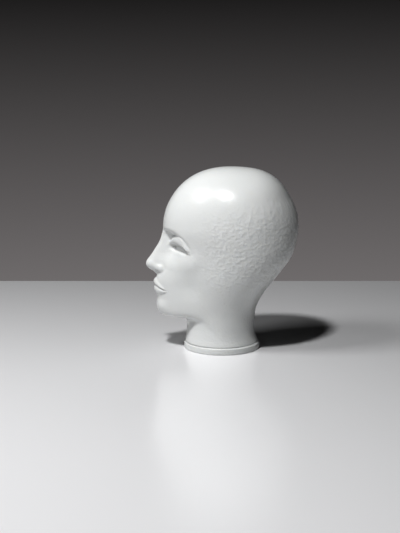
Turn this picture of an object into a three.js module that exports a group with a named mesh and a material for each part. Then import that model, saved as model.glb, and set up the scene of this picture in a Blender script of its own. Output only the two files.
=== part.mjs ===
import * as THREE from 'three';

// A display head of white opal glass, blown in one piece with its neck and foot ring.
// It is hollow and open underneath. Lengths are in millimetres, +Z is up, the face looks
// towards -Y and the head's own left side is +X. The foot ring stands on z = 0.

// Overall sizes

const HEIGHT = 270;
const WALL = 5;
const DOME_BASE = 184;
const DOME_RISE = HEIGHT - DOME_BASE;
const DOME_EASE = 14;
const CROWN_Y = 13;

// Foot ring and neck, as [height, radius]

const FOOT_RADIUS = [[0, 54.6], [1, 56], [6.4, 56.4], [8.4, 55.9], [9.3, 54.7], [9.8, 53.4]];
const NECK_RADIUS = [[0, 54.6], [10, 54.0], [20, 51.4], [30, 50.0], [42, 49.8], [60, 50]];
const NECK_LEAN = -2.2;
const NECK_LEAN_TOP = 30;
const NECK_TOP = 95;
const NECK_TOP_BLEND = 20;
const NECK_BLEND = 12;

// Main mass of the head, as [height, value]: front of the face, back, half width, and how much
// wider the back half of each level is than its front half

const FACE_FRONT = [
  [30, -84.7], [44, -90.7], [64, -95.0], [95, -94.4], [110, -94.0], [125, -89.3], [140, -85.8], [155, -84.5],
  [184, -87.4],
];
const HEAD_BACK = [
  [0, 41], [43, 44], [64, 51.2], [86, 63.8], [114, 85.8], [139, 103.1], [169, 111.6], [184, 113.0],
];
const HALF_WIDTH = [[30, 45.5], [50, 47.5], [80, 55.5], [110, 65], [140, 72.5], [168, 76.7], [184, 77.5]];
const EGG_SHAPE = [[40, 0.34], [100, 0.33], [140, 0.25], [184, 0.15]];

// Chin, and the underside of the jaw with the blend that rounds its edge

const CHIN = { middle: [0, -79.7, 65.2], radii: [20, 16.2, 14.5], blend: 8 };
const JAW_Z = 49.5;
const JAW_FALL = 3;
const JAW_SIDE_RISE = 6;
const JAW_END_DROP = 60;
const JAW_BLEND = 14;

// Nose, as [height, how far it stands out of the face] and [height, how broad its back is]

const NOSE_RISE = [
  [108, 0.5], [111, 2], [118.5, 14], [122, 19.8], [127, 22.8], [131, 22.6], [146, 15.9], [166, 5], [182, 0],
];
const NOSE_BREADTH = [[108, 6], [118, 7], [126, 10.5], [146, 11], [166, 14.5], [184, 22]];
const NOSE_TIP = { middle: [0, -103.4, 127], radii: [8.8, 8.4, 7.4], blend: 6 };
const NOSE_WING = { front: [4, -101.5, 124.8], back: [11, -88.7, 121.3], radii: [4.8, 6.4], blend: 6 };
const SEPTUM = { front: [0, -105.8, 121.2], back: [0, -95.4, 115], radii: [2.4, 3.2], blend: 4 };

// Eye, as [distance around the face from its middle, height]: the brow's edge, the top of the
// upper lid, the lash line and the lower lid, and [distance, depth] for the socket under the brow

const EYE_AXIS_Y = -20;
const EYE_REACH = 58;
const BROW = [[0, 179], [18, 182], [36, 181], [53, 172.2], [74, 154]];
const LID_TOP = [[8, 158], [22, 167], [36, 170.5], [50, 167], [66, 151.5]];
const LASH_LINE = [[8, 152.5], [14, 157.5], [26, 160.8], [45, 159], [63, 151], [70, 150]];
const LOWER_LID = [[8, 152.5], [18, 149.7], [38, 147.6], [56, 148], [64, 151], [70, 150]];
const SOCKET_DEPTH = [[0, 0], [5, 1.5], [14, 10.5], [22, 10.2], [44, 5.8], [60, 2.8], [76, 0.4]];
const LID_BULGE = 5.2;
const EYE_SET_BACK = 1.4;
const EYE_TILT = 2;

// Mouth, with the distances its parts stand out of the face or sink into it

const MOUTH_Z = 95.2;
const MOUTH_HALF = 26;
const CORNER_DROP = 7;
const UPPER_LIP = 11.5;
const LOWER_LIP = 15.5;
const MUZZLE_RISE = 4.5;
const UPPER_LIP_RISE = 2.4;
const LOWER_LIP_RISE = 2.5;
const SEAM_DEPTH = 0.8;
const GROOVE_DEPTH = 0.9;
const CHIN_HOLLOW = { z: 75.5, depth: 0.9 };

// Cheekbone and the hollow of the cheek, as distance around the face, height and relief

const CHEEKBONE = { across: 56, z: 136, rise: 3.4 };
const CHEEK_HOLLOW = { across: 60, z: 100, depth: 3 };

// How the hollow stays behind the eyes: where its wall swells inwards, how deep and how far

const EYE_SWELL = { across: 20, z: 156, depth: 14, wide: 42, tall: 27 };

// Spine of the rays that find the surface. Each stop has the point the rays start from at the front
// (y, z), the point of the profile they pass through (y, z), the height they leave at on the back of
// the head, and the number of rows of facets up to the next stop: outside, then inside.

const NECK_FOOT = { from: [-1, 10.3], through: [-54, 10.3], back: 10.3, rows: [2, 1] };
const NECK = { from: [-1, 26], through: [-54, 26], back: 26, rows: [2, 1] };
const THROAT = { from: [-6, 36], through: [-54, 36.5], back: 36, rows: [2, 3] };
const UNDER_JAW = { from: [-20, 55], through: [-54, 41.5], back: 48, rows: [2, 2] };
const JAW = { from: [-45, 82], through: [-70, 45], back: 62, rows: [2, 1] };
const UNDER_CHIN = { from: [-48, 84], through: [-88, 49], back: 72, rows: [3, 1] };
const CHIN_FRONT = { from: [-48, 84], through: [-97, 60], back: 80, rows: [4, 1] };
const LOWER_LIP_FOOT = { from: [-42, 84], through: [-96, 76], back: 88, rows: [6, 1] };
const MOUTH = { from: [-30, 96], through: [-100, 95], back: 99, rows: [6, 1] };
const NOSE_FOOT = { from: [-22, 112], through: [-96, 111], back: 112, rows: [5, 1] };
const NOSE_FRONT = { from: [-18, 128], through: [-112, 127], back: 127, rows: [9, 2] };
const EYES = { from: [-12, 156], through: [-95, 156], back: 156, rows: [7, 1] };
const BROWS = { from: [-8, 178], through: [-86, 178], back: 178, rows: [3, 1] };
const FOREHEAD = { from: [4, 190], through: [-84, 205], back: 192, rows: [8, 4] };
const STOPS = [
  NECK_FOOT, NECK, THROAT, UNDER_JAW, JAW, UNDER_CHIN, CHIN_FRONT, LOWER_LIP_FOOT, MOUTH, NOSE_FOOT,
  NOSE_FRONT, EYES, BROWS, FOREHEAD,
];
const SPINE_BACK_Y = 5;
const CROWN_Z = 190;
const FACE_TURN = 58;
const FACE_COLUMNS = 19;
const SIDE_COLUMNS = 13;
const FIRST_STEP = 12;
const STEP = 1.5;
const HALVINGS = 14;

// Small mathematics

const clamp = THREE.MathUtils.clamp;
const lerp = THREE.MathUtils.lerp;
const ramp = (from, to, at) => {
  const t = clamp((at - from) / (to - from), 0, 1);
  return t * t * (3 - 2 * t);
};
const hill = (...offsets) => Math.exp(-offsets.reduce((sum, offset) => sum + offset * offset, 0));

function join(a, b, blend) {
  const near = Math.max(blend - Math.abs(a - b), 0) / blend;
  return Math.min(a, b) - near * near * near * blend / 6;
}

function trim(a, b, blend) {
  return -join(-a, -b, blend);
}

// A smooth curve through stations, level before the first and after the last
function curve(stations, at) {
  const last = stations.length - 1;
  const x = clamp(at, stations[0][0], stations[last][0]);
  let i = 0;
  while (i < last - 1 && x > stations[i + 1][0]) i += 1;
  const rise = (k) => (stations[k + 1][1] - stations[k][1]) / (stations[k + 1][0] - stations[k][0]);
  const step = (k) => stations[k + 1][0] - stations[k][0];
  const slope = (k) => {
    if (k === 0) return rise(0);
    if (k === last) return 0;
    return (rise(k - 1) * step(k) + rise(k) * step(k - 1)) / (step(k - 1) + step(k));
  };
  const t = (x - stations[i][0]) / step(i);
  const s = t * t * (3 - 2 * t);
  const bend = step(i) * t * (1 - t) * (slope(i) * (1 - t) - slope(i + 1) * t);
  return lerp(stations[i][1], stations[i + 1][1], s) + bend;
}

// Shapes are functions of a point: below zero inside, above zero outside

function ball(p, { middle: [cx, cy, cz], radii: [rx, ry, rz] }) {
  const x = (p.x - cx) / rx;
  const y = (p.y - cy) / ry;
  const z = (p.z - cz) / rz;
  const reach = Math.hypot(x, y, z);
  return reach * (reach - 1) / (Math.hypot(x / rx, y / ry, z / rz) + 1e-9);
}

// A rounded rod whose radius changes from its front end to its back end
function rod(p, { front, back, radii }) {
  const start = new THREE.Vector3(...front);
  const along = new THREE.Vector3(...back).sub(start);
  const offset = new THREE.Vector3(p.x, p.y, p.z).sub(start);
  const t = clamp(offset.dot(along) / along.lengthSq(), 0, 1);
  return offset.addScaledVector(along, -t).length() - lerp(radii[0], radii[1], t);
}

// How far up the dome a height is: 0 well below its base, 1 at the top, with an eased start
function domeShare(z) {
  const eased = (height) => height + Math.hypot(height, DOME_EASE);
  return eased(z - DOME_BASE) / eased(DOME_RISE);
}

function skull(p) {
  const front = curve(FACE_FRONT, p.z);
  const back = curve(HEAD_BACK, p.z);
  const length = (back - front) / 2;
  const v = (p.y - (front + back) / 2) / length;
  const width = curve(HALF_WIDTH, p.z) * (1 + curve(EGG_SHAPE, p.z) * clamp(v, -1.2, 1.2));
  const up = domeShare(p.z);
  const fullness = 2 + (0.3 + 0.6 * ramp(-0.1, 0.45, v)) * Math.max(up - 0.5, 0);
  const u = p.x / width;
  const reach = Math.hypot(u, (Math.abs(v) ** fullness + up ** fullness) ** (1 / fullness));
  return reach * (reach - 1) / (Math.hypot(u / width, v / length, up / DOME_RISE) + 1e-9);
}

// Height of the underside of the jaw, which rises a little at the sides and ends behind the throat
function jawFloor(p) {
  const side = JAW_SIDE_RISE * ramp(5, 50, Math.abs(p.x)) * (1 - ramp(-60, -10, p.y));
  return JAW_Z - JAW_FALL * ramp(-95, -50, p.y) + side - JAW_END_DROP * ramp(-30, 40, p.y);
}

function neck(p) {
  const lean = NECK_LEAN * ramp(0, NECK_LEAN_TOP, p.z);
  return trim(Math.hypot(p.x, p.y - lean) - curve(NECK_RADIUS, p.z), p.z - NECK_TOP, NECK_TOP_BLEND);
}

function plainHead(p) {
  return join(trim(skull(p), jawFloor(p) - p.z, JAW_BLEND), ball(p, CHIN), CHIN.blend);
}

// Relief of one half of the face, as heights above the plain head

function eyeRelief(across, z) {
  const brow = curve(BROW, across);
  const lidTop = curve(LID_TOP, across);
  const lash = curve(LASH_LINE, across);
  const lower = curve(LOWER_LID, across);
  const hollow = curve(SOCKET_DEPTH, across) * ramp(-1, 12, brow - z) * (1 - ramp(-6, 26, lower - z))
    * ramp(2, 9, across) * (1 - ramp(62, 76, across));
  const middle = (lidTop + lash) / 2 - 0.6;
  const half = (lidTop - lash) / 2 + 3.4;
  const lid = LID_BULGE * Math.max(1 - ((z - middle) / half) ** 2, 0)
    * ramp(8, 19, across) * (1 - ramp(54, 67, across));
  const open = ramp(-1.5, 2, lash - z) * ramp(-2, 3, z - lower)
    * ramp(8, 16, across) * (1 - ramp(56, 66, across));
  const down = clamp((lash - z) / Math.max(lash - lower, 1), 0, 1);
  return lid - hollow - (EYE_SET_BACK + EYE_TILT * down) * open;
}

function mouthRelief(x, z) {
  const share = x / MOUTH_HALF;
  const taper = 1 - clamp(share, 0, 1) ** 2.2;
  const seam = MOUTH_Z - CORNER_DROP * clamp(share, 0, 1.3) ** 1.6;
  const upperHeight = UPPER_LIP * taper + hill((x - 5.5) / 4);
  const upper = clamp((z - seam) / Math.max(upperHeight, 0.8), 0, 1);
  const lower = clamp((seam - z) / Math.max(LOWER_LIP * taper, 0.8), 0, 1);
  const fade = 1 - ramp(0.7, 1.1, share);
  const muzzle = MUZZLE_RISE * hill((z - MOUTH_Z - 2) / 15, x / 25);
  const upperLip = UPPER_LIP_RISE * Math.sin(Math.PI * upper ** 0.9) * fade;
  const lowerLip = LOWER_LIP_RISE * Math.sin(Math.PI * lower ** 0.8) * fade;
  const line = SEAM_DEPTH * hill((z - seam) / 2.4) * (1 - ramp(0.8, 1.15, share));
  const groove = GROOVE_DEPTH * hill(x / 3.2) * ramp(104, 107.5, z) * (1 - ramp(109, 113, z));
  const chinHollow = CHIN_HOLLOW.depth * hill((z - CHIN_HOLLOW.z) / 4, x / 16);
  return muzzle + upperLip + lowerLip - line - groove - chinHollow;
}

function noseRelief(x, z) {
  return curve(NOSE_RISE, z) * Math.exp(-((x / curve(NOSE_BREADTH, z)) ** 2.3));
}

function cheekRelief(across, z) {
  const bone = CHEEKBONE.rise * hill((across - CHEEKBONE.across) / 24, (z - CHEEKBONE.z) / 15);
  const hollow = CHEEK_HOLLOW.depth * hill((across - CHEEK_HOLLOW.across) / 20, (z - CHEEK_HOLLOW.z) / 20);
  return bone - hollow;
}

// The whole outside above the foot ring
function outside(p) {
  const x = Math.abs(p.x);
  let shape = plainHead(p);
  if (p.y < 0) {
    const half = { x, y: p.y, z: p.z };
    const across = EYE_REACH * Math.atan2(x, EYE_AXIS_Y - p.y);
    shape -= (eyeRelief(across, p.z) + cheekRelief(across, p.z)) * ramp(12, 40, -p.y);
    shape -= (mouthRelief(x, p.z) + noseRelief(x, p.z)) * ramp(62, 76, -p.y);
    shape = join(shape, ball(half, NOSE_TIP), NOSE_TIP.blend);
    shape = join(shape, rod(half, NOSE_WING), NOSE_WING.blend);
    shape = join(shape, rod(half, SEPTUM), SEPTUM.blend);
  }
  return join(shape, neck(p), NECK_BLEND);
}

// The hollow keeps a whole wall away from the outside. It doesn't follow the nose or the lips, and
// it passes behind the eyes in one smooth swell.
function inside(p) {
  const across = EYE_REACH * Math.atan2(Math.abs(p.x), EYE_AXIS_Y - p.y);
  const { across: swellAcross, z: swellZ, depth, wide, tall } = EYE_SWELL;
  const swell = depth * hill((across - swellAcross) / wide, (p.z - swellZ) / tall);
  const plain = join(plainHead(p), neck(p), NECK_BLEND) + swell * ramp(12, 40, -p.y);
  return Math.max(outside(p), plain) + WALL;
}

// Where a ray from inside the shape leaves it
function surfacePoint(shape, start, direction) {
  const point = new THREE.Vector3();
  const valueAt = (distance) => shape(point.copy(start).addScaledVector(direction, distance));
  let far = FIRST_STEP;
  while (valueAt(far) < 0) far += STEP;
  let near = far - STEP;
  for (let halving = 0; halving < HALVINGS; halving += 1) {
    const middle = (near + far) / 2;
    if (valueAt(middle) < 0) near = middle;
    else far = middle;
  }
  return point.copy(start).addScaledVector(direction, far).clone();
}

// Turns around the head in radians, closer together on the face. Zero looks out of the face and
// the turns go by the head's left side to the back, then on by its right side.
function bearings() {
  const left = [];
  for (let column = 0; column < FACE_COLUMNS; column += 1) {
    const share = column / FACE_COLUMNS;
    left.push(FACE_TURN * (0.8 * share + 0.2 * share * share));
  }
  for (let column = 0; column < SIDE_COLUMNS; column += 1) {
    left.push(lerp(FACE_TURN, 180, column / SIDE_COLUMNS));
  }
  const right = left.slice(1).reverse().map((turn) => -turn);
  return [...left, 180, ...right].map(THREE.MathUtils.degToRad);
}

function aim(turn, rise) {
  return new THREE.Vector3(Math.sin(turn) * Math.cos(rise), -Math.cos(turn) * Math.cos(rise), Math.sin(rise));
}

// One ray of a row: level towards the back of the head, tilted towards the profile at the front
function spineRay(stop, turn) {
  const frontness = 1 - ramp(THREE.MathUtils.degToRad(25), THREE.MathUtils.degToRad(120), Math.abs(turn));
  const rise = Math.atan2(stop.through[1] - stop.from[1], stop.from[0] - stop.through[0]) * frontness;
  const start = new THREE.Vector3(
    0,
    lerp(SPINE_BACK_Y, stop.from[0], frontness),
    lerp(stop.back, stop.from[1], frontness),
  );
  return { start, rise };
}

function between(stop, next, t) {
  const mix = (a, b) => [lerp(a[0], b[0], t), lerp(a[1], b[1], t)];
  return {
    from: mix(stop.from, next.from),
    through: mix(stop.through, next.through),
    back: lerp(stop.back, next.back, t),
  };
}

// Rings of points from the neck's foot to the crown, with the crown's own point as the last ring
function skinRings(shape, turns, detail) {
  const rings = [];
  const crown = new THREE.Vector3(0, CROWN_Y, CROWN_Z);
  STOPS.forEach((stop, index) => {
    const next = STOPS[index + 1];
    const rows = stop.rows[detail];
    for (let row = 0; row < rows; row += 1) {
      const level = next ? between(stop, next, row / rows) : stop;
      const dome = next ? 0 : row / rows;
      rings.push(turns.map((turn) => {
        const { start, rise } = spineRay(level, turn);
        return surfacePoint(shape, start.lerp(crown, dome), aim(turn, lerp(rise, Math.PI / 2, dome)));
      }));
    }
  });
  rings.push([surfacePoint(shape, crown, new THREE.Vector3(0, 0, 1))]);
  return rings;
}

function circle(turns, z, radius) {
  return turns.map((turn) => new THREE.Vector3(Math.sin(turn) * radius, -Math.cos(turn) * radius, z));
}

// One closed surface: the foot ring and the outside up to the crown, the inside up to its own crown,
// and the flat underside of the foot between them

function closedSurface(outerRings, innerRings) {
  const points = [];
  const triangles = [];
  const number = (rings) => rings.map((ring) => ring.map((point) => points.push(point) - 1));
  const outer = number(outerRings);
  const inner = number(innerRings);

  // Each four-sided patch is split along the diagonal that follows the lids and lips of its side
  const patch = (corner, beside, across, above, onLeft) => {
    if (above === across) return [corner, beside, above];
    if (onLeft) return [corner, beside, above, beside, across, above];
    return [corner, beside, across, corner, across, above];
  };
  const clad = (rings, facingOut) => {
    for (let row = 0; row < rings.length - 1; row += 1) {
      const low = rings[row];
      const high = rings[row + 1];
      low.forEach((corner, column) => {
        const next = (column + 1) % low.length;
        const across = high[next % high.length];
        const above = high[column % high.length];
        const facets = patch(corner, low[next], across, above, 2 * column < low.length);
        triangles.push(...(facingOut ? facets : facets.reverse()));
      });
    }
  };
  clad(outer, true);
  clad(inner, false);

  const rim = outer[0];
  const mouth = inner[0];
  mouth.forEach((corner, column) => {
    const beside = mouth[(column + 1) % mouth.length];
    const first = rim[2 * column];
    const second = rim[2 * column + 1];
    const third = rim[(2 * column + 2) % rim.length];
    triangles.push(first, corner, second, second, corner, beside, second, beside, third);
  });

  const geometry = new THREE.BufferGeometry().setFromPoints(points);
  geometry.setIndex(triangles);
  geometry.computeVertexNormals();
  return geometry;
}

const outerTurns = bearings();
const innerTurns = outerTurns.filter((turn, column) => column % 2 === 0);
const footRings = FOOT_RADIUS.map(([z, radius]) => circle(outerTurns, z, radius));
const mouthRing = circle(innerTurns, 0, NECK_RADIUS[0][1] - WALL);

const opalGlass = new THREE.MeshStandardMaterial({ color: 0xe6e9e8, roughness: 0.14, metalness: 0 });
const glassHead = new THREE.Mesh(
  closedSurface(
    [...footRings, ...skinRings(outside, outerTurns, 0)],
    [mouthRing, ...skinRings(inside, innerTurns, 1)],
  ),
  opalGlass,
);
glassHead.name = 'glass_head';

const part = new THREE.Group();
part.name = 'glass_head_sculpture';
part.add(glassHead);

export default part;
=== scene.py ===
"""A display head of white opal glass, blown in one piece with its neck and foot ring.

The form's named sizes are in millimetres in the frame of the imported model: +Z up, the face looks
towards -Y, the head's own left side is +X and the foot ring stands on z = 0.
"""

import math

import bmesh
import bpy
import numpy as np
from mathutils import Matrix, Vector, noise


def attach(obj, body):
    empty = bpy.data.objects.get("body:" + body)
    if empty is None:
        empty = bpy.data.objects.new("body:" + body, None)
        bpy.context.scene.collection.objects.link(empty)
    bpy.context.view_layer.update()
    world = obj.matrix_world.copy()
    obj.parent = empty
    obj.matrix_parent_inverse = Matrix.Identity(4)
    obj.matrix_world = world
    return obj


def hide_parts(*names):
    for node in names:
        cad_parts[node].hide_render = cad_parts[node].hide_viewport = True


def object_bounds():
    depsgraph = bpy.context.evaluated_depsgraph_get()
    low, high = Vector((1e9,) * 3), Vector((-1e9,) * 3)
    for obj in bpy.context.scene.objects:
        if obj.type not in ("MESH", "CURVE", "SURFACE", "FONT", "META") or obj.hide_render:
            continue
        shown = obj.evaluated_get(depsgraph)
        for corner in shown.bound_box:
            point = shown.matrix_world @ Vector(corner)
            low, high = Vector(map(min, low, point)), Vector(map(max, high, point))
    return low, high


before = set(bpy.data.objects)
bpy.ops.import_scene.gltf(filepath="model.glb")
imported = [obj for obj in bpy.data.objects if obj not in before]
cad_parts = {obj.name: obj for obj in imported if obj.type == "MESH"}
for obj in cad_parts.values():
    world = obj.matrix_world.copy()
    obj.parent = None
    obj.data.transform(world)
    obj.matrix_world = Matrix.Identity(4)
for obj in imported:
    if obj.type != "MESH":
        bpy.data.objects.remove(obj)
cad_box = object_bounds()

MM = 0.001
HEIGHT = cad_box[1].z / MM
WALL = 5.0

# Skull, as (height, value): front of the face, back, half width, and how much wider the back half of
# each level is than its front half. The dome starts to close in at its base and is fuller than a ball
# towards the crown, most of all at the back.

DOME_BASE = 184.0
DOME_RISE = HEIGHT - DOME_BASE
DOME_EASE = 14.0
CROWN_Y = 13.0
CROWN_FULLNESS = 0.3
BACK_FULLNESS = 0.6
BACK_FULLNESS_SPAN = (-0.1, 0.45)
FULLNESS_FROM = 0.5
EGG_REACH = 1.2
FACE_FRONT = [
    (30, -84.7), (44, -90.7), (64, -95.0), (95, -94.4), (110, -94.0), (125, -89.3), (140, -85.8),
    (155, -84.5), (184, -87.4),
]
HEAD_BACK = [(0, 41), (43, 44), (64, 51.2), (86, 63.8), (114, 85.8), (139, 103.1), (169, 111.6), (184, 113)]
HALF_WIDTH = [(30, 45.5), (50, 47.5), (80, 55.5), (110, 65), (140, 72.5), (168, 76.7), (184, 77.5)]
EGG_SHAPE = [(40, 0.34), (100, 0.33), (140, 0.25), (184, 0.15)]

# Chin, underside of the jaw, and neck. A span is the stretch that a change takes from start to end.

CHIN_MIDDLE = (0, -79.7, 65.2)
CHIN_RADII = (20, 16.2, 14.5)
CHIN_BLEND = 8
JAW_Z = 49.5
JAW_FALL = 3
JAW_FALL_SPAN = (-95, -50)
JAW_SIDE_RISE = 6
JAW_SIDE_SPAN = (5, 50)
JAW_SIDE_END = (-60, -10)
JAW_END_DROP = 60
JAW_END_SPAN = (-30, 40)
JAW_BLEND = 14
NECK_RADIUS = [(0, 54.6), (10, 54.0), (20, 51.4), (30, 50.0), (42, 49.8), (60, 50)]
NECK_LEAN = -2.2
NECK_LEAN_TOP = 30
NECK_TOP = 95
NECK_TOP_BLEND = 20
NECK_BLEND = 12

# Foot ring: its outer radius and height, the rounding of its edges and the groove above it

RING_RADIUS = 56.4
RING_TOP = 9.4
RING_TOP_EDGE = 1.5
RING_FOOT_EDGE = 1.2
GROOVE_RADIUS = 53.5
GROOVE_Z = 9.9
MOUTH_RADIUS = NECK_RADIUS[0][1] - WALL
MOUTH_EDGE = 0.6

# Nose, as (height, how far it stands out) and (height, how broad its back is), its tip, the wing from
# front to back and the septum. The nose and the mouth set in between two distances in front of the
# head's middle.

NOSE_RISE = [
    (108, 0.5), (111, 2), (118.5, 14), (122, 19.8), (127, 22.8), (131, 22.6), (146, 15.9), (166, 5), (182, 0),
]
NOSE_BREADTH = [(108, 6), (118, 7), (126, 10.5), (146, 11), (166, 14.5), (184, 22)]
NOSE_SQUARENESS = 2.3
TIP_MIDDLE = (0, -103.4, 127)
TIP_RADII = (8.8, 8.4, 7.4)
WING = ((4, -101.5, 124.8), (11, -88.7, 121.3), 4.8, 6.4)
SEPTUM = ((0, -105.8, 121.2), (0, -95.4, 115), 2.4, 3.2)
NOSE_BLEND = 6
SEPTUM_BLEND = 4
NOSE_AND_MOUTH_BEGIN = (62, 76)

# Eye, as (distance around the face from its middle, height): the brow's edge, the top of the upper
# lid, the lash line and the lower lid, and (distance, depth) for the socket under the brow. The spans
# are where each of them sets in or ends, across the face or up it.

EYE_AXIS_Y = -20.0
EYE_REACH = 58.0
BROW = [(0, 179), (18, 182), (36, 181), (53, 172.2), (74, 154)]
LID_TOP = [(8, 158), (22, 167), (36, 170.5), (50, 167), (66, 151.5)]
LASH_LINE = [(8, 152.5), (14, 157.5), (26, 160.8), (45, 159), (63, 151), (70, 150)]
LOWER_LID = [(8, 152.5), (18, 149.7), (38, 147.6), (56, 148), (64, 151), (70, 150)]
SOCKET_DEPTH = [(0, 0), (5, 1.5), (14, 10.5), (22, 10.2), (44, 5.8), (60, 2.8), (76, 0.4)]
SOCKET_TOP = (-1, 12)
SOCKET_FOOT = (-6, 26)
SOCKET_INNER_END = (2, 9)
SOCKET_OUTER_END = (62, 76)
LID_BULGE = 5.4
LID_DROP = 0.6
LID_SPREAD = 3.4
LID_ROUNDNESS = 0.8
LID_INNER_END = (8, 19)
LID_OUTER_END = (56, 66)
EYE_SET_BACK = 2.0
EYE_TILT = 0.8
LASH_EDGE = (-0.6, 0.9)
LOWER_LID_EDGE = (-2.4, 3.6)
EYE_INNER_END = (9.5, 14)
EYE_OUTER_END = (58, 64)
EYES_BEGIN = (12, 40)

# How much further in the inner skin stands behind the eyes, at which place, and how wide and tall

EYE_SWELL = 14.0
EYE_SWELL_ACROSS = 20
EYE_SWELL_Z = 156
EYE_SWELL_WIDE = 42
EYE_SWELL_TALL = 27

# Mouth. The lips and the seam end at shares of its half width, and the philtrum at heights. The
# cheekbone and the hollow of the cheek are (distance around the face, height) and (width, height).

MOUTH_Z = 95.2
MOUTH_HALF = 26.0
MOUTH_TAPER = 2.2
CORNER_DROP = 7.0
CORNER_CURVE = 1.6
CORNER_END = 1.3
UPPER_LIP = 11.5
UPPER_LIP_RISE = 2.4
UPPER_LIP_ROUNDNESS = 0.9
LOWER_LIP = 15.5
LOWER_LIP_RISE = 2.5
LOWER_LIP_ROUNDNESS = 0.8
LEAST_LIP = 0.8
LIP_END = (0.76, 1.06)
BOW_X = 5.5
BOW_WIDTH = 4
SEAM_DEPTH = 0.8
SEAM_HEIGHT = 1.4
SEAM_END = (0.85, 1.12)
MUZZLE_RISE = 4.5
MUZZLE_Z = MOUTH_Z + 2
MUZZLE_WIDTH = 25
MUZZLE_HEIGHT = 15
PHILTRUM_DEPTH = 0.9
PHILTRUM_WIDTH = 3.2
PHILTRUM_FOOT = (104, 107.5)
PHILTRUM_TOP = (109, 113)
CHIN_HOLLOW_Z = 75.5
CHIN_HOLLOW_DEPTH = 0.9
CHIN_HOLLOW_WIDTH = 16
CHIN_HOLLOW_HEIGHT = 4
CHEEKBONE_RISE = 3.4
CHEEKBONE_PLACE = (56, 136)
CHEEKBONE_SIZE = (24, 15)
CHEEK_HOLLOW_DEPTH = 3.0
CHEEK_HOLLOW_PLACE = (60, 100)
CHEEK_HOLLOW_SIZE = (20, 20)

# Spine of the rays that find the skin, from the neck's foot to the forehead. Each stop has the point
# where its rays start at the front (y, z), the point of the profile that they pass through (y, z), the
# height they leave at on the back, and the rows of faces up to the next stop: outside, then inside.

STOPS = [
    ((-1, 10.3), (-54, 10.3), 10.3, 12, 2),
    ((-1, 26), (-54, 26), 26, 7, 2),
    ((-6, 36), (-54, 36.5), 36, 8, 2),
    ((-20, 55), (-54, 41.5), 48, 10, 2),
    ((-45, 82), (-70, 45), 62, 12, 2),
    ((-48, 84), (-88, 49), 72, 12, 2),
    ((-48, 84), (-97, 60), 80, 14, 2),
    ((-42, 84), (-96, 76), 88, 20, 2),
    ((-30, 96), (-100, 95), 99, 16, 2),
    ((-22, 112), (-96, 111), 112, 22, 2),
    ((-18, 128), (-112, 127), 127, 30, 3),
    ((-12, 156), (-95, 156), 156, 20, 3),
    ((-8, 178), (-86, 178), 178, 18, 3),
    ((4, 190), (-84, 205), 192, 48, 10),
]
SPINE_BACK_Y = 5
CROWN_Z = 190
FRONT_TURN = math.radians(25)
BACK_TURN = math.radians(120)
COLUMNS = 360
INNER_COLUMNS = 72
FRONT_CROWDING = 0.62
DOME_CROWDING = 1.25
FIRST_STEP = 12.0
STEP = 3.0
HALVINGS = 13
WELD = 0.001

# Hammered texture of the skull: widths of its dents and of the finer grain between them, their depths,
# and where it fades out. The line where it fades towards the crown rises to the back of the head. The
# ripple is the finest grain, which is in the glass's shading.

DENT_WIDTH = 4.4
GRAIN_WIDTH = 2.8
DENT_DEPTH = 0.55
GRAIN_DEPTH = 0.35
BOWL_STEEPNESS = 1.6
FACE_FADE = (-50, 0)
JAW_FADE = (78, 128)
CROWN_FADE = (186, 226)
CROWN_FADE_RISE = 0.3
CROWN_FADE_SHARE = 0.9
RIPPLE_ELSEWHERE = 0.2


# Small mathematics

def ramp(start, end, at):
    """From 0 at the start to 1 at the end, with eased ends."""
    t = np.clip((at - start) / (end - start), 0, 1)
    return t * t * (3 - 2 * t)


def hill(*offsets):
    """1 at its top, falling away with distance. Each offset is in widths of the hill."""
    return np.exp(-sum(offset * offset for offset in offsets))


def join(a, b, blend):
    """Two shapes as one, with a fillet of about the blend's width."""
    near = np.maximum(blend - np.abs(a - b), 0) / blend
    return np.minimum(a, b) - near ** 3 * blend / 6


def trim(a, b, blend):
    """What two shapes share, with a rounded edge."""
    return -join(-a, -b, blend)


def curve(stations, at):
    """A smooth curve through stations, level before the first and after the last."""
    places, values = np.array(stations, float).T
    step = np.diff(places)
    rise = np.diff(values) / step
    slope = np.zeros(len(places))
    slope[0] = rise[0]
    slope[1:-1] = (rise[:-1] * step[1:] + rise[1:] * step[:-1]) / (step[:-1] + step[1:])
    at = np.clip(at, places[0], places[-1])
    i = np.clip(np.searchsorted(places, at) - 1, 0, len(places) - 2)
    t = (at - places[i]) / step[i]
    s = t * t * (3 - 2 * t)
    bend = step[i] * t * (1 - t) * (slope[i] * (1 - t) - slope[i + 1] * t)
    return values[i] * (1 - s) + values[i + 1] * s + bend


# Shapes are functions of points: below zero inside, above zero outside

def ball(p, middle, radii):
    q = (p - np.array(middle)) / np.array(radii)
    reach = np.sqrt((q * q).sum(-1))
    return reach * (reach - 1) / (np.sqrt(((q / np.array(radii)) ** 2).sum(-1)) + 1e-9)


def rod(p, front, back, front_radius, back_radius):
    start = np.array(front, float)
    along = np.array(back, float) - start
    t = np.clip((p - start) @ along / (along @ along), 0, 1)
    offset = p - start - t[..., None] * along
    return np.sqrt((offset * offset).sum(-1)) - (front_radius + (back_radius - front_radius) * t)


def dome_share(z):
    """How far up the dome a height is: 0 well below its base, 1 at the top, with an eased start."""
    def eased(height):
        return height + np.hypot(height, DOME_EASE)
    return eased(z - DOME_BASE) / eased(DOME_RISE)


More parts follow.
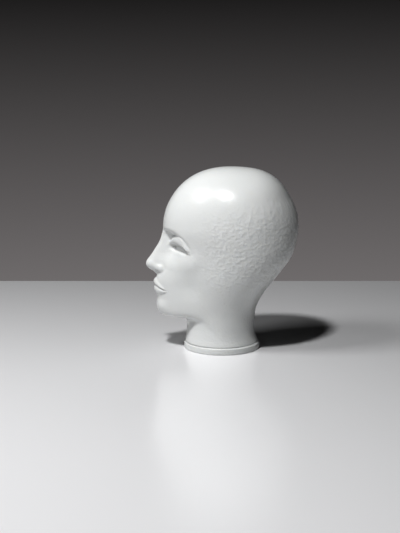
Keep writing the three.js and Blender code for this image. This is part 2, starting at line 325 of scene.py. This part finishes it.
def skull(p):
    x, y, z = np.moveaxis(p, -1, 0)
    front = curve(FACE_FRONT, z)
    back = curve(HEAD_BACK, z)
    length = (back - front) / 2
    v = (y - (front + back) / 2) / length
    width = curve(HALF_WIDTH, z) * (1 + curve(EGG_SHAPE, z) * np.clip(v, -EGG_REACH, EGG_REACH))
    up = dome_share(z)
    fuller = CROWN_FULLNESS + BACK_FULLNESS * ramp(*BACK_FULLNESS_SPAN, v)
    fullness = 2 + fuller * np.maximum(up - FULLNESS_FROM, 0)
    reach = np.hypot(x / width, (np.abs(v) ** fullness + up ** fullness) ** (1 / fullness))
    slope = np.sqrt((x / width / width) ** 2 + (v / length) ** 2 + (up / DOME_RISE) ** 2) + 1e-9
    return reach * (reach - 1) / slope


def jaw_floor(p):
    """Height of the underside of the jaw, which rises at the sides and ends behind the throat."""
    x, y = np.abs(p[..., 0]), p[..., 1]
    side = JAW_SIDE_RISE * ramp(*JAW_SIDE_SPAN, x) * (1 - ramp(*JAW_SIDE_END, y))
    drop = JAW_FALL * ramp(*JAW_FALL_SPAN, y) + JAW_END_DROP * ramp(*JAW_END_SPAN, y)
    return JAW_Z + side - drop


def neck(p):
    x, y, z = np.moveaxis(p, -1, 0)
    lean = NECK_LEAN * ramp(0, NECK_LEAN_TOP, z)
    return trim(np.hypot(x, y - lean) - curve(NECK_RADIUS, z), z - NECK_TOP, NECK_TOP_BLEND)


def plain_head(p):
    head = trim(skull(p), jaw_floor(p) - p[..., 2], JAW_BLEND)
    return join(head, ball(p, CHIN_MIDDLE, CHIN_RADII), CHIN_BLEND)


# Relief of one half of the face, as heights above the plain head

def eye_relief(across, z):
    brow = curve(BROW, across)
    lid_top = curve(LID_TOP, across)
    lash = curve(LASH_LINE, across)
    lower = curve(LOWER_LID, across)
    socket = curve(SOCKET_DEPTH, across) * ramp(*SOCKET_TOP, brow - z) * (1 - ramp(*SOCKET_FOOT, lower - z))
    socket = socket * ramp(*SOCKET_INNER_END, across) * (1 - ramp(*SOCKET_OUTER_END, across))
    middle = (lid_top + lash) / 2 - LID_DROP
    half = (lid_top - lash) / 2 + LID_SPREAD
    lid = LID_BULGE * np.maximum(1 - ((z - middle) / half) ** 2, 0) ** LID_ROUNDNESS
    lid = lid * ramp(*LID_INNER_END, across) * (1 - ramp(*LID_OUTER_END, across))
    opening = ramp(*LASH_EDGE, lash - z) * ramp(*LOWER_LID_EDGE, z - lower)
    opening = opening * ramp(*EYE_INNER_END, across) * (1 - ramp(*EYE_OUTER_END, across))
    down = np.clip((lash - z) / np.maximum(lash - lower, 1), 0, 1)
    return lid - socket - (EYE_SET_BACK + EYE_TILT * down) * opening


def mouth_relief(x, z):
    share = x / MOUTH_HALF
    taper = 1 - np.clip(share, 0, 1) ** MOUTH_TAPER
    seam = MOUTH_Z - CORNER_DROP * np.clip(share, 0, CORNER_END) ** CORNER_CURVE
    bow = hill((x - BOW_X) / BOW_WIDTH)
    upper = np.clip((z - seam) / np.maximum(UPPER_LIP * taper + bow, LEAST_LIP), 0, 1)
    lower = np.clip((seam - z) / np.maximum(LOWER_LIP * taper, LEAST_LIP), 0, 1)
    fade = 1 - ramp(*LIP_END, share)
    muzzle = MUZZLE_RISE * hill((z - MUZZLE_Z) / MUZZLE_HEIGHT, x / MUZZLE_WIDTH)
    upper_lip = UPPER_LIP_RISE * np.sin(np.pi * upper ** UPPER_LIP_ROUNDNESS) * fade
    lower_lip = LOWER_LIP_RISE * np.sin(np.pi * lower ** LOWER_LIP_ROUNDNESS) * fade
    line = SEAM_DEPTH * hill((z - seam) / SEAM_HEIGHT) * (1 - ramp(*SEAM_END, share))
    groove = ramp(*PHILTRUM_FOOT, z) * (1 - ramp(*PHILTRUM_TOP, z))
    philtrum = PHILTRUM_DEPTH * hill(x / PHILTRUM_WIDTH) * groove
    chin_hollow = hill((z - CHIN_HOLLOW_Z) / CHIN_HOLLOW_HEIGHT, x / CHIN_HOLLOW_WIDTH)
    return muzzle + upper_lip + lower_lip - line - philtrum - CHIN_HOLLOW_DEPTH * chin_hollow


def nose_relief(x, z):
    return curve(NOSE_RISE, z) * np.exp(-(x / curve(NOSE_BREADTH, z)) ** NOSE_SQUARENESS)


def cheek_relief(across, z):
    def patch(place, size):
        return hill((across - place[0]) / size[0], (z - place[1]) / size[1])
    bone = CHEEKBONE_RISE * patch(CHEEKBONE_PLACE, CHEEKBONE_SIZE)
    return bone - CHEEK_HOLLOW_DEPTH * patch(CHEEK_HOLLOW_PLACE, CHEEK_HOLLOW_SIZE)


def outside(p):
    """The outer skin above the foot ring."""
    x, y, z = np.abs(p[..., 0]), p[..., 1], p[..., 2]
    half = np.stack([x, y, z], -1)
    across = EYE_REACH * np.arctan2(x, EYE_AXIS_Y - y)
    shape = plain_head(p)
    shape = shape - (eye_relief(across, z) + cheek_relief(across, z)) * ramp(*EYES_BEGIN, -y)
    shape = shape - (mouth_relief(x, z) + nose_relief(x, z)) * ramp(*NOSE_AND_MOUTH_BEGIN, -y)
    shape = join(shape, ball(half, TIP_MIDDLE, TIP_RADII), NOSE_BLEND)
    shape = join(shape, rod(half, *WING), NOSE_BLEND)
    shape = join(shape, rod(half, *SEPTUM), SEPTUM_BLEND)
    return join(shape, neck(p), NECK_BLEND)


def inside(p):
    """The inner skin, a wall in from the plain head, which passes behind the eyes in one swell."""
    x, y, z = np.abs(p[..., 0]), p[..., 1], p[..., 2]
    across = EYE_REACH * np.arctan2(x, EYE_AXIS_Y - y)
    swell = hill((across - EYE_SWELL_ACROSS) / EYE_SWELL_WIDE, (z - EYE_SWELL_Z) / EYE_SWELL_TALL)
    swell = EYE_SWELL * swell * ramp(*EYES_BEGIN, -y)
    plain = join(plain_head(p), neck(p), NECK_BLEND) + swell
    return np.maximum(outside(p), plain) + WALL


def where_rays_leave(shape, start, direction):
    """The points where rays from inside a shape pass through its skin."""
    far = np.full(len(start), FIRST_STEP)
    going = np.arange(len(start))
    while len(going):
        going = going[shape(start[going] + far[going, None] * direction[going]) < 0]
        far[going] += STEP
    near = far - STEP
    for _ in range(HALVINGS):
        middle = (near + far) / 2
        out = shape(start + middle[:, None] * direction) >= 0
        far = np.where(out, middle, far)
        near = np.where(out, near, middle)
    return start + far[:, None] * direction


def spine_rays(row, turn, detail):
    """Start and direction of the ray of each row and turn. The last row is the crown."""
    rows = [stop[3 + detail] for stop in STOPS]
    first_row = np.concatenate([[0], np.cumsum(rows)[:-1]])
    dome_rows = rows[-1]
    dome = np.clip((row - first_row[-1]) / dome_rows, 0, 1) ** DOME_CROWDING
    front_y, front_z, through_y, through_z, back_z = (
        np.interp(row, first_row, values)
        for values in np.array([(*stop[0], *stop[1], stop[2]) for stop in STOPS]).T
    )
    frontness = 1 - ramp(FRONT_TURN, BACK_TURN, np.abs(turn))
    rise = np.arctan2(through_z - front_z, front_y - through_y) * frontness
    rise = rise + (np.pi / 2 - rise) * dome
    start = np.stack([
        np.zeros(len(row)),
        SPINE_BACK_Y + (front_y - SPINE_BACK_Y) * frontness,
        back_z + (front_z - back_z) * frontness,
    ], -1)
    start = start + (np.array([0, CROWN_Y, CROWN_Z]) - start) * dome[:, None]
    level = np.cos(rise)
    direction = np.stack([np.sin(turn) * level, -np.cos(turn) * level, np.sin(rise)], -1)
    return start, direction


# Modelling

def blown_skin(bm, shape, columns, detail):
    """A sheet wrapped round the spine, drawn out on to a shape's skin and welded down the back and at
    the crown. Returns the edges of its open end at the foot."""
    rows = sum(stop[3 + detail] for stop in STOPS)
    verts = bmesh.ops.create_grid(bm, x_segments=columns, y_segments=rows, size=1)["verts"]
    place = np.array([vert.co for vert in verts], float)
    share = np.abs(place[:, 0])
    turn = np.sign(place[:, 0]) * np.pi * share * (FRONT_CROWDING + (1 - FRONT_CROWDING) * share)
    row = (place[:, 1] + 1) / 2 * rows
    skin = where_rays_leave(shape, *spine_rays(row, turn, detail))
    for vert, point in zip(verts, skin):
        vert.co = point
    seam = [vert for vert, s, r in zip(verts, share, row) if s > 1 - WELD or r > rows - WELD]
    bmesh.ops.remove_doubles(bm, verts=seam, dist=WELD)
    kept = set(vert for vert in verts if vert.is_valid)
    return [edge for edge in bm.edges if edge.is_boundary and edge.verts[0] in kept]


def arc(middle_radius, middle_z, radius, start, end, steps):
    """Points of a rounded edge of the ring, as (radius, height), from one angle to another."""
    angles = np.radians(np.linspace(start, end, steps + 1))
    return [(middle_radius + radius * math.cos(a), middle_z + radius * math.sin(a)) for a in angles]


def foot_ring(bm, edges):
    """The skin's open end drawn down round the ring and under it. Returns the edges of its mouth."""
    top = arc(RING_RADIUS - RING_TOP_EDGE, RING_TOP - RING_TOP_EDGE, RING_TOP_EDGE, 90, 0, 4)
    foot = arc(RING_RADIUS - RING_FOOT_EDGE, RING_FOOT_EDGE, RING_FOOT_EDGE, 0, -90, 3)
    mouth = arc(MOUTH_RADIUS + MOUTH_EDGE, MOUTH_EDGE, MOUTH_EDGE, 270, 180, 1)
    for radius, z in [(GROOVE_RADIUS, GROOVE_Z), *top, *foot, *mouth]:
        drawn = bmesh.ops.extrude_edge_only(bm, edges=edges)["geom"]
        edges = [item for item in drawn if isinstance(item, bmesh.types.BMEdge)]
        for vert in (item for item in drawn if isinstance(item, bmesh.types.BMVert)):
            turn = math.atan2(vert.co.x, -vert.co.y)
            vert.co = (radius * math.sin(turn), -radius * math.cos(turn), z)
    return edges


def hammered_depth(point):
    """How deep the hammered texture is at a point: shallow bowls with soft ridges, and finer grain."""
    gaps = noise.voronoi(point / DENT_WIDTH, distance_metric="DISTANCE")[0]
    bowl = max(1 - BOWL_STEEPNESS * gaps[0] ** 2, 0)
    grain = 0.5 + 0.5 * noise.noise(point / GRAIN_WIDTH)
    return DENT_DEPTH * bowl + GRAIN_DEPTH * grain


def hammer(bm):
    """Presses the texture into the sides and back of the skull, never outwards."""
    bm.normal_update()
    place = np.array([vert.co for vert in bm.verts])
    y, z = place[:, 1], place[:, 2]
    share = ramp(*FACE_FADE, y) * ramp(*JAW_FADE, z)
    share = share * (1 - CROWN_FADE_SHARE * ramp(*CROWN_FADE, z - CROWN_FADE_RISE * y))
    for vert, fade in zip(bm.verts, share):
        if fade > 0.01:
            vert.co -= vert.normal * (fade * hammered_depth(vert.co))


def blown_head(material):
    """The whole glass: hammered outer skin, foot ring, and the inner skin joined to the ring's mouth."""
    bm = bmesh.new()
    open_end = blown_skin(bm, outside, COLUMNS, 0)
    bmesh.ops.recalc_face_normals(bm, faces=bm.faces)
    hammer(bm)
    mouth = foot_ring(bm, open_end)
    inner_end = blown_skin(bm, inside, INNER_COLUMNS, 1)
    bmesh.ops.bridge_loops(bm, edges=mouth + inner_end)
    bmesh.ops.recalc_face_normals(bm, faces=bm.faces)
    bmesh.ops.scale(bm, vec=(MM, MM, MM), verts=bm.verts)
    for face in bm.faces:
        face.smooth = True
    mesh = bpy.data.meshes.new("blown_head")
    bm.to_mesh(mesh)
    bm.free()
    mesh.materials.append(material)
    head = bpy.data.objects.new("blown_head", mesh)
    bpy.context.scene.collection.objects.link(head)
    return head


# Materials

def principled(name):
    material = bpy.data.materials.new(name)
    material.use_nodes = True
    return material, material.node_tree, material.node_tree.nodes["Principled BSDF"]


def opal_glass():
    """White opal glass: light goes into it and comes out softly, under a glossy, faintly rippled skin."""
    material, tree, glass = principled("white_opal_glass")
    glass.inputs["Roughness"].default_value = 0.27
    glass.inputs["Specular IOR Level"].default_value = 0.3
    glass.inputs["IOR"].default_value = 1.5
    glass.inputs["Subsurface Weight"].default_value = 0.2
    glass.inputs["Subsurface Radius"].default_value = (1.0, 0.95, 0.85)
    glass.inputs["Subsurface Scale"].default_value = 0.003

    place = tree.nodes.new("ShaderNodeTexCoord")
    clouds = tree.nodes.new("ShaderNodeTexNoise")
    clouds.inputs["Scale"].default_value = 14
    clouds.inputs["Detail"].default_value = 3
    tint = tree.nodes.new("ShaderNodeMix")
    tint.data_type = "RGBA"
    tint.inputs["A"].default_value = (0.71, 0.725, 0.72, 1)
    tint.inputs["B"].default_value = (0.76, 0.765, 0.76, 1)
    tree.links.new(place.outputs["Object"], clouds.inputs["Vector"])
    tree.links.new(clouds.outputs["Fac"], tint.inputs["Factor"])
    tree.links.new(tint.outputs["Result"], glass.inputs["Base Color"])

    ripple = tree.nodes.new("ShaderNodeTexNoise")
    ripple.inputs["Scale"].default_value = 280
    ripple.inputs["Detail"].default_value = 2
    sides = tree.nodes.new("ShaderNodeSeparateXYZ")
    tree.links.new(place.outputs["Object"], ripple.inputs["Vector"])
    tree.links.new(place.outputs["Object"], sides.inputs["Vector"])
    height = ripple.outputs["Fac"]
    for axis, start, end in [("Y", *FACE_FADE), ("Z", CROWN_FADE[1], CROWN_FADE[0])]:
        fade = tree.nodes.new("ShaderNodeMapRange")
        fade.inputs["From Min"].default_value = start * MM
        fade.inputs["From Max"].default_value = end * MM
        fade.inputs["To Min"].default_value = RIPPLE_ELSEWHERE
        tree.links.new(sides.outputs[axis], fade.inputs["Value"])
        faded = tree.nodes.new("ShaderNodeMath")
        faded.operation = "MULTIPLY"
        tree.links.new(height, faded.inputs[0])
        tree.links.new(fade.outputs["Result"], faded.inputs[1])
        height = faded.outputs["Value"]
    bump = tree.nodes.new("ShaderNodeBump")
    bump.inputs["Strength"].default_value = 0.6
    bump.inputs["Distance"].default_value = 0.001
    tree.links.new(height, bump.inputs["Height"])
    tree.links.new(bump.outputs["Normal"], glass.inputs["Normal"])
    return material


def table_white():
    material, tree, paint = principled("table_white")
    paint.inputs["Base Color"].default_value = (0.88, 0.88, 0.89, 1)
    paint.inputs["Roughness"].default_value = 0.22
    return material


# Studio, in metres. The backdrop's span is how steeply a look goes down or up where its two shades
# are reached. A gamma below 1 raises the picture's contrast.

CAMERA_PLACE = (1.8333, -0.03265, 0.4741)
CAMERA_DIP = math.radians(10.89)
LENS_MM = 85.1
SENSOR_MM = 36
TABLE_BACK_X = -0.487
TABLE_REACH = 2.6
HEAD_MIDDLE = (0, 0, 0.15)
BACKDROP_LOW = (0.26, 0.247, 0.248, 1)
BACKDROP_HIGH = (0.006, 0.006, 0.006, 1)
BACKDROP_SPAN = (-0.2, 0.05)
PICTURE_GAMMA = 0.72


def camera():
    data = bpy.data.cameras.new("camera")
    data.lens = LENS_MM
    data.sensor_width = SENSOR_MM
    made = bpy.data.objects.new("camera", data)
    made.location = CAMERA_PLACE
    made.rotation_euler = (math.pi / 2 - CAMERA_DIP, 0, math.pi / 2)
    bpy.context.scene.collection.objects.link(made)
    bpy.context.scene.camera = made


def table_top():
    bm = bmesh.new()
    bmesh.ops.create_grid(bm, x_segments=1, y_segments=1, size=1)
    bmesh.ops.scale(bm, vec=(TABLE_REACH / 2, TABLE_REACH, 1), verts=bm.verts)
    bmesh.ops.translate(bm, vec=(TABLE_BACK_X + TABLE_REACH / 2, 0, 0), verts=bm.verts)
    mesh = bpy.data.meshes.new("table_top")
    bm.to_mesh(mesh)
    bm.free()
    mesh.materials.append(table_white())
    floor = bpy.data.objects.new("table_top", mesh)
    bpy.context.scene.collection.objects.link(floor)
    return floor


def soft_light(name, place, size, watts):
    data = bpy.data.lights.new(name, "AREA")
    data.shape = "SQUARE"
    data.size = size
    data.energy = watts
    light = bpy.data.objects.new(name, data)
    light.location = place
    light.rotation_euler = (Vector(HEAD_MIDDLE) - light.location).to_track_quat("-Z", "Y").to_euler()
    bpy.context.scene.collection.objects.link(light)


def grey_backdrop():
    """A plain grey world, lighter towards and below the horizon."""
    world = bpy.data.worlds.new("grey_backdrop")
    world.use_nodes = True
    tree = world.node_tree
    background = tree.nodes["Background"]
    place = tree.nodes.new("ShaderNodeTexCoord")
    split = tree.nodes.new("ShaderNodeSeparateXYZ")
    shades = tree.nodes.new("ShaderNodeValToRGB")
    stretch = tree.nodes.new("ShaderNodeMapRange")
    stretch.inputs["From Min"].default_value = BACKDROP_SPAN[0]
    stretch.inputs["From Max"].default_value = BACKDROP_SPAN[1]
    shades.color_ramp.elements[0].color = BACKDROP_LOW
    shades.color_ramp.elements[1].color = BACKDROP_HIGH
    tree.links.new(place.outputs["Generated"], split.inputs["Vector"])
    tree.links.new(split.outputs["Z"], stretch.inputs["Value"])
    tree.links.new(stretch.outputs["Result"], shades.inputs["Fac"])
    tree.links.new(shades.outputs["Color"], background.inputs["Color"])
    bpy.context.scene.world = world


camera()
grey_backdrop()
table_top()
soft_light("key", place=(1.20, -0.57, 2.20), size=0.24, watts=46)
soft_light("face_side", place=(0.35, -0.80, 1.10), size=0.4, watts=7)
bpy.context.scene.view_settings.view_transform = "Standard"
bpy.context.scene.view_settings.gamma = PICTURE_GAMMA

head = blown_head(opal_glass())
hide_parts("glass_head")
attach(head, "root")
